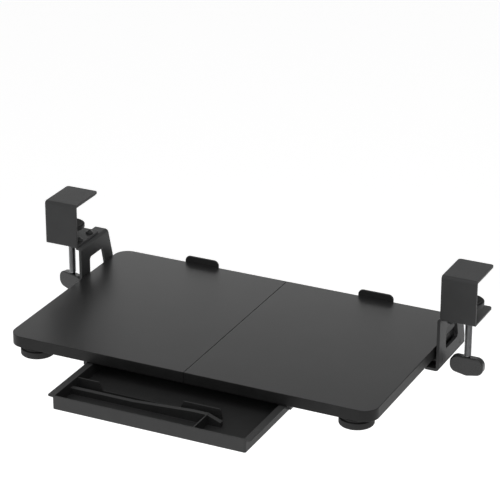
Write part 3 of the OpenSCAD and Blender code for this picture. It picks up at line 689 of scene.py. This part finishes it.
def button_bolt(head_d, length):
    """A button-head bolt with a hexagon socket: head from 0 up, threaded shank down to -length."""
    head = head_d / 2
    dome = [(0, 0), (head - 0.15 * MM, 0), (head, 0.15 * MM), (head, 0.25 * BOLT_HEAD_H)]
    dome += [(head * math.cos(a), BOLT_HEAD_H * (0.25 + 0.75 * math.sin(a)))
             for a in np.linspace(0.2, 1.15, 6)]
    dome += [(0.4 * head, BOLT_HEAD_H), (0, BOLT_HEAD_H)]
    socket = prism(polygon_outline(6, HEX_KEY), 0.35 * BOLT_HEAD_H, BOLT_HEAD_H + MM)
    shank = thread(BOLT_D / 2, BOLT_PITCH, -length, 0.2 * MM, columns=28)
    return joined([boolean(lathe(dome, columns=48), socket), shank])


def clamp_screws():
    """Threaded rods, their pressure pads and rubber facings."""
    tang_r, tang_chamfer = 2.8 * MM, 0.5 * MM
    spigot_r, spigot_chamfer, spigot_play = 3 * MM, 0.3 * MM, 0.05 * MM
    below_pad = 0.2 * MM
    cup_round, lip_round, lip_chamfer = 1.2 * MM, 0.4 * MM, 0.2 * MM
    ring_pitch, ring_w, ring_d = 2.2 * MM, 0.8 * MM, 0.4 * MM
    rings = 6
    for side in SIDES:
        low, high, middle = size(f"clamp_screw_{side}")
        pad_low, pad_high, _ = size(f"pressure_pad_{side}")
        facing_low, facing_high, _ = size(f"pad_facing_{side}")
        _, handle_high, _ = size(f"handle_{side}")
        centre = (middle.x, middle.y, 0)
        shoulder = pad_low.z - below_pad
        rod = thread((high.x - low.x) / 2, CLAMP_PITCH, handle_high.z, shoulder)
        tang = lathe([(0, low.z), (tang_r - tang_chamfer, low.z), (tang_r, low.z + tang_chamfer),
                      (tang_r, handle_high.z + MM), (0, handle_high.z + MM)], columns=32)
        tip = lathe([(0, shoulder - MM), (spigot_r, shoulder - MM), (spigot_r, high.z - spigot_chamfer),
                     (spigot_r - spigot_chamfer, high.z), (0, high.z)], columns=32)
        piece(f"clamp_screw_{side}_thread", placed(joined([rod, tang, tip]), centre), f"screw_{side}",
              "screw_steel", [f"clamp_screw_{side}"])

        rim = (pad_high.x - pad_low.x) / 2
        facing_r = (facing_high.x - facing_low.x) / 2
        inner = facing_r + 0.05 * MM
        seat = facing_low.z
        bore = spigot_r + spigot_play
        cup = [(0, pad_low.z + spigot_r), (bore, pad_low.z + spigot_r), (bore, pad_low.z)]
        cup += arc((rim - cup_round, pad_low.z + cup_round), cup_round, -90, 0, 6)
        cup += arc((rim - lip_round, pad_high.z - lip_round), lip_round, 0, 90, 3)
        cup += [(inner + lip_chamfer, pad_high.z), (inner, pad_high.z - lip_chamfer), (inner, seat),
                (0, seat)]
        plate = placed(lathe(cup, columns=72), centre)
        piece(f"pressure_pad_{side}_plate", plate, f"pad_{side}", "powder_coat", [f"pressure_pad_{side}"])

        top = facing_high.z
        face = [(0, seat), (facing_r, seat), (facing_r, top - lip_round)]
        face += arc((facing_r - lip_round, top - lip_round), lip_round, 0, 90, 3)
        for i in range(rings, 0, -1):
            r = i * ring_pitch
            face += [(r + ring_w / 2, top), (r + 0.3 * ring_w, top - ring_d),
                     (r - 0.3 * ring_w, top - ring_d), (r - ring_w / 2, top)]
        face += [(0, top)]
        facing = placed(lathe(face, columns=72), centre)
        piece(f"pad_facing_{side}_rubber", facing, f"pad_{side}", "rubber_black", [f"pad_facing_{side}"])


def smooth_union(a, b, k):
    """The union of two distance fields with a fillet of about size k."""
    h = np.maximum(k - np.abs(a - b), 0) / k
    return np.minimum(a, b) - h * h * k / 4


def smooth_cut(a, b, k):
    """Field a with field b taken out, the rim rounded by about k."""
    return -smooth_union(-a, b, k)


def convex_distance(p, corners):
    """Distance from points to a convex outline whose corners run anticlockwise, negative inside."""
    nearest = np.full(len(p), np.inf)
    deepest = np.full(len(p), -np.inf)
    for a, b in zip(corners, corners[1:] + corners[:1]):
        a, b = np.array(a), np.array(b)
        length = np.linalg.norm(b - a)
        way = (b - a) / length
        from_a = p - a
        foot = np.clip(from_a @ way, 0, length)
        nearest = np.minimum(nearest, np.linalg.norm(from_a - foot[:, None] * way, axis=1))
        deepest = np.maximum(deepest, from_a @ np.array([way[1], -way[0]]))
    return np.where(deepest > 0, nearest, deepest)


def handles():
    """Flat turning handles, straight above and bulging below, their edges rounded."""
    square_low, square_high, _ = size("handle_right")
    wide, thick = square_high.x - square_low.x, square_high.y - square_low.y
    for side, turn in HANDLE_TURN.items():
        low, high, _ = size(f"handle_{side}")
        _, _, axis = size(f"clamp_screw_{side}")
        tall = high.z - low.z
        end_x = wide / 2 - HANDLE_CORNER
        foot = low.z - high.z + HANDLE_CORNER
        corners = [(0, foot), (end_x, foot + HANDLE_BELLY), (end_x, -HANDLE_CORNER),
                   (-end_x, -HANDLE_CORNER), (-end_x, foot + HANDLE_BELLY)]

        def field(p):
            face_on = convex_distance(p[:, [0, 2]], corners) - HANDLE_CORNER
            side_on = np.abs(p[:, 1]) - thick / 2
            q = np.stack([face_on, side_on], 1) + HANDLE_EDGE
            paddle = np.linalg.norm(np.maximum(q, 0), axis=1) + np.minimum(q.max(1), 0) - HANDLE_EDGE
            bore = np.maximum(np.hypot(p[:, 0], p[:, 1]) - TANG_BORE / 2, -TANG_LENGTH - p[:, 2])
            return smooth_cut(paddle, bore, TANG_RIM)

        limit = np.array([wide / 2, thick / 2, 0])
        bm = surface_of(field, -limit - np.array([0, 0, tall]), limit, HANDLE_STEP)
        bm.transform(Matrix.Translation((axis.x, axis.y, high.z)) @ Matrix.Rotation(turn, 4, "Z"))
        o = piece(f"handle_{side}_grip", bm, f"screw_{side}", "handle_plastic", [f"handle_{side}"])
        o.modifiers.clear()


def rollers():
    """Nylon rollers with a crowned tread, on pins riveted into the brackets and coated outside."""
    coated_from = size("roller_axles_right")[1].x - 0.3 * MM
    tread, crown = 8.2 * MM, 0.12 * MM
    hub, bore, chamfer = 3.8 * MM, 2.55 * MM, 0.3 * MM
    round_r, web_in, shoulder = 0.6 * MM, 0.25 * MM, 0.2 * MM
    pin, head_t = 2.5 * MM, 0.9 * MM
    pin_chamfer, dimple = 0.25 * MM, 0.35 * MM
    for side, sign in SIDES.items():
        for place in ("front", "rear"):
            node = f"{place}_roller_{side}"
            low, high, middle = size(node)
            radius = (high.z - low.z) / 2
            length = high.x - low.x
            profile = [(bore + chamfer, 0), (hub, 0), (radius - round_r - shoulder, web_in)]
            profile += arc((radius - round_r - crown, web_in + round_r), round_r, -90, 0, 4)
            profile += [(radius, tread / 2)]
            profile += arc((radius - round_r - crown, tread - round_r), round_r, 0, 90, 4)
            profile += [(hub, tread), (hub, length - chamfer), (hub - chamfer, length),
                        (bore + chamfer, length), (bore, length - chamfer), (bore, chamfer)]
            inner_x = low.x if side == "right" else high.x
            roller = placed(lathe(profile, columns=64), (inner_x, middle.y, middle.z), (sign, 0, 0))
            piece(f"{node}_nylon", roller, f"{place}_wheel_{side}", "roller_nylon", [node])
        pins = []
        for middle, low, high in solids_of(f"roller_axles_{side}"):
            head = (high.z - low.z) / 2
            length = high.x - low.x
            profile = [(0, 0), (0.5 * head, 0.02 * MM), (head - 0.3 * MM, 0.15 * MM), (head, 0.45 * MM),
                       (head, head_t - 0.1 * MM), (head - 0.1 * MM, head_t), (pin, head_t),
                       (pin, length - pin_chamfer), (pin - pin_chamfer, length), (0.62 * pin, length),
                       (0.5 * pin, length - dimple), (0.35 * pin, length - dimple),
                       (0, length - 0.2 * MM)]
            inner_x = low.x if side == "right" else high.x
            pins.append(placed(lathe(profile, columns=48), (inner_x, middle.y, middle.z), (sign, 0, 0)))
        piece(f"roller_axles_{side}_steel", joined(pins), "root", "zinc_steel", [f"roller_axles_{side}"],
              second=("powder_coat", lambda face: abs(face.calc_center_median().x) > coated_from))


def board():
    """Two halves in laminate, with an edge band round their sides."""
    for side in SIDES:
        node = f"board_{side}"
        piece(f"{node}_panel", flat_faces(node), "tray", "board_laminate", [node], bevel=0.7 * MM,
              segments=4, second=("edge_band", lambda face: abs(face.normal.z) < 0.5))


def under_board():
    """What is fixed under the board and behind it."""

    def dressed(node, what, finish, bevel, segments=3):
        piece(f"{node}_{what}", flat_faces(node), "tray", finish, [node], bevel=bevel, segments=segments)

    for place in ("front", "rear"):
        dressed(f"{place}_joining_plate", "steel", "zinc_steel", bevel=0.15 * MM, segments=2)
    for side in SIDES:
        dressed(f"rear_stop_{side}", "plate", "stop_plastic", bevel=0.8 * MM)
        dressed(f"slide_rail_{side}", "extrusion", "rail_aluminium", bevel=0.2 * MM, segments=2)
        for place in ("front", "rear"):
            dressed(f"{place}_rail_stop_{side}", "block", "runner_plastic", bevel=0.5 * MM)
        dressed(f"drawer_rail_{side}", "runner", "runner_plastic", bevel=0.3 * MM)


def feet():
    """Round rubber feet with a groove over the sole, each sunk round its screw."""
    sole_h, groove, lip, base_r = 5.7 * MM, 1.5 * MM, 0.35 * MM, 1.5 * MM
    bore, sink, sink_h, chamfer = 2.05 * MM, 3.8 * MM, 6.5 * MM, 0.3 * MM
    for side in SIDES:
        node = f"front_foot_{side}"
        low, high, middle = size(node)
        sole = (high.x - low.x) / 2
        collar = sole - 1.5 * MM
        sole_top = high.z - sole_h
        profile = [(bore, low.z + sink_h), (sink, low.z + sink_h), (sink, low.z + chamfer),
                   (sink + chamfer, low.z)]
        profile += arc((sole - base_r, low.z + base_r), base_r, -90, 0, 6)
        profile += arc((sole - lip, sole_top - lip), lip, 0, 90, 4)
        profile += [(collar - groove, sole_top), (collar - groove, sole_top + groove)]
        profile += arc((collar - lip, sole_top + groove + lip), lip, -90, 0, 4)
        profile += [(collar, high.z), (bore, high.z)]
        foot = placed(lathe(profile, columns=96), (middle.x, middle.y, 0))
        piece(f"{node}_rubber", foot, "tray", "rubber_black", [node])


def screws():
    """Wood screws under the board and behind it."""
    down, back = (0, 0, -1), (0, 1, 0)

    def group(node, make, places, axis):
        piece(node, joined([placed(make(), p, axis) for p in places]), "tray", "zinc_steel", [node])

    for node in ("slide_rail_screws_left", "slide_rail_screws_right", "drawer_rail_screws",
                 "foot_screws"):
        places = []
        for middle, low, high in solids_of(node):
            places.append((middle.x, middle.y, low.z + PAN_HEAD_H))
            length = high.z - low.z - PAN_HEAD_H
        group(node, lambda: pan_head_screw(length), places, down)

    places = []
    for middle, low, high in solids_of("rear_stop_screws"):
        places.append((middle.x, high.y - PAN_HEAD_H, middle.z))
        length = high.y - low.y - PAN_HEAD_H
    group("rear_stop_screws", lambda: pan_head_screw(length), places, back)

    plate_low, plate_high, _ = size("front_joining_plate")
    head_h = plate_high.z - plate_low.z
    places = []
    for middle, low, high in solids_of("joining_screws"):
        places.append((middle.x, middle.y, low.z))
        length = high.z - low.z
    group("joining_screws", lambda: flat_head_screw(head_h, length), places, down)


def dowels():
    """Fluted beech dowels across the seam."""
    parts = []
    flutes, flute_depth = 20, 0.035
    chamfer = MM
    for middle, low, high in solids_of("seam_dowels"):
        radius = (high.z - low.z) / 2
        length = high.x - low.x
        part = lathe([(0, 0), (radius - chamfer, 0), (radius, chamfer), (radius, length - chamfer),
                      (radius - chamfer, length), (0, length)], columns=4 * flutes)
        for v in part.verts:
            if math.hypot(v.co.x, v.co.y) > 0.9 * radius:
                wave = math.cos(flutes * math.atan2(v.co.y, v.co.x))
                shrink = 1 - flute_depth * (1 - wave) / 2
                v.co.x *= shrink
                v.co.y *= shrink
        parts.append(placed(part, (low.x, middle.y, middle.z), (1, 0, 0)))
    piece("seam_dowels_beech", joined(parts), "tray", "dowel_beech", ["seam_dowels"])


def drawer():
    """The drawer's moulding. Its floor and the walls inside it get a darker and duller grey than the rest;
    the darkness is painted shade.
    """
    low, high, _ = size("drawer")
    lug_rise = 1.3 * MM
    half_wall, rim = 1.2 * MM, 7 * MM
    inside_x = high.x - rim - half_wall
    tops_from = high.z - lug_rise - 9.2 * MM

    # Faces inside the drawer, which get the darker grey of painted shade
    def inside(face):
        middle = face.calc_center_median()
        within = abs(middle.x) < inside_x and low.y + half_wall < middle.y < high.y - half_wall
        top_of_wall = face.normal.z > 0.5 and middle.z > tops_from
        return within and middle.z > low.z + half_wall and not top_of_wall

    moulding = piece("drawer_moulding", flat_faces("drawer"), "drawer_box", "drawer_plastic", ["drawer"],
                     bevel=0.45 * MM, second=("painted_shade_inside", inside))
    settled(moulding, low, high)


# Camera, light and floor

CAMERA_AZIMUTH = 25.7001
CAMERA_ELEVATION = 23.4373
CAMERA_DISTANCE = 3.1363
CAMERA_AIM = (-0.0895, 0.1769, -0.096)
CAMERA_LENS = 165.28

# Light: the surroundings are brighter in front of the desk and left of it than behind it and right of it
SKY_FRONT = 0.85
SKY_BACK = 0.30
SKY_WAY = (0.55, 0.835, 0)
SKY_FADE = 0.6
FLOOR_Z = -0.72
FLOOR_REACH = 45
FLOOR_GLOW = 0.44


def camera():
    """A long lens at the photograph's angle, aimed at the board's plane."""
    azimuth, elevation = math.radians(CAMERA_AZIMUTH), math.radians(CAMERA_ELEVATION)
    back = Vector((math.sin(azimuth) * math.cos(elevation), -math.cos(azimuth) * math.cos(elevation),
                   math.sin(elevation)))
    data = bpy.data.cameras.new("camera")
    data.lens = CAMERA_LENS
    data.sensor_width = 36
    data.clip_end = 120
    o = bpy.data.objects.new("camera", data)
    bpy.context.scene.collection.objects.link(o)
    o.location = Vector(CAMERA_AIM) + back * CAMERA_DISTANCE
    o.rotation_euler = (-back).to_track_quat("-Z", "Y").to_euler()
    bpy.context.scene.camera = o


def area_light(name, place, aim, width, height, power):
    """A large soft light that the camera doesn't see."""
    data = bpy.data.lights.new(name, "AREA")
    data.shape = "RECTANGLE"
    data.size, data.size_y = width, height
    data.energy = power
    o = bpy.data.objects.new(name, data)
    bpy.context.scene.collection.objects.link(o)
    o.location = place
    o.rotation_euler = (Vector(aim) - Vector(place)).to_track_quat("-Z", "Y").to_euler()
    o.visible_camera = False


def surroundings():
    """A white sky that fades from SKY_FRONT to SKY_BACK along SKY_WAY."""
    world = bpy.data.worlds.new("studio")
    world.use_nodes = True
    tree = world.node_tree
    way = shader_node(tree, "ShaderNodeTexCoord").outputs["Generated"]
    along_way = shader_node(tree, "ShaderNodeVectorMath", {0: way, 1: SKY_WAY},
                            operation="DOT_PRODUCT").outputs["Value"]
    strength = shader_node(tree, "ShaderNodeMapRange",
                           {"Value": along_way, "From Min": -SKY_FADE, "From Max": SKY_FADE,
                            "To Min": SKY_FRONT, "To Max": SKY_BACK},
                           interpolation_type="SMOOTHSTEP").outputs["Result"]
    background = tree.nodes["Background"]
    background.inputs["Color"].default_value = (1, 1, 1, 1)
    tree.links.new(strength, background.inputs["Strength"])
    bpy.context.scene.world = world
    bpy.context.scene.view_settings.view_transform = "Standard"


def floor():
    """A pale floor as far below as a desk stands high. It glows a little, and is clear from below."""
    bm = bmesh.new()
    bmesh.ops.create_grid(bm, x_segments=1, y_segments=1, size=FLOOR_REACH)
    mesh = bpy.data.meshes.new("floor")
    bm.to_mesh(mesh)
    bm.free()
    material = bpy.data.materials.new("floor_pale")
    material.use_nodes = True
    tree = material.node_tree
    tree.nodes.clear()
    diffuse = shader_node(tree, "ShaderNodeBsdfDiffuse", {"Color": (0.9, 0.9, 0.9, 1)})
    clear = shader_node(tree, "ShaderNodeBsdfTransparent")
    behind = shader_node(tree, "ShaderNodeNewGeometry").outputs["Backfacing"]
    glow = shader_node(tree, "ShaderNodeEmission", {"Color": (1, 1, 1, 1), "Strength": FLOOR_GLOW})
    lit = shader_node(tree, "ShaderNodeAddShader", {0: diffuse.outputs[0], 1: glow.outputs[0]})
    mixed = shader_node(tree, "ShaderNodeMixShader",
                        {0: behind, 1: lit.outputs[0], 2: clear.outputs[0]})
    shader_node(tree, "ShaderNodeOutputMaterial", {"Surface": mixed.outputs[0]})
    mesh.materials.append(material)
    o = bpy.data.objects.new("floor", mesh)
    o.location.z = FLOOR_Z
    bpy.context.scene.collection.objects.link(o)


def studio():
    """Soft white surroundings, a pale floor and two soft lights."""
    surroundings()
    floor()
    area_light("overhead", place=(0.45, -0.6, 2.2), aim=(0, 0, -0.1), width=2.0, height=2.0, power=12.5)
    area_light("behind", place=(-0.4, 1.3, 0.14), aim=(0, -0.05, -0.1), width=1.7, height=0.66, power=4.0)


camera()
studio()
sheet_metal()
jaw_pads()
nuts_and_bolts()
clamp_screws()
handles()
rollers()
board()
under_board()
feet()
screws()
dowels()
drawer()
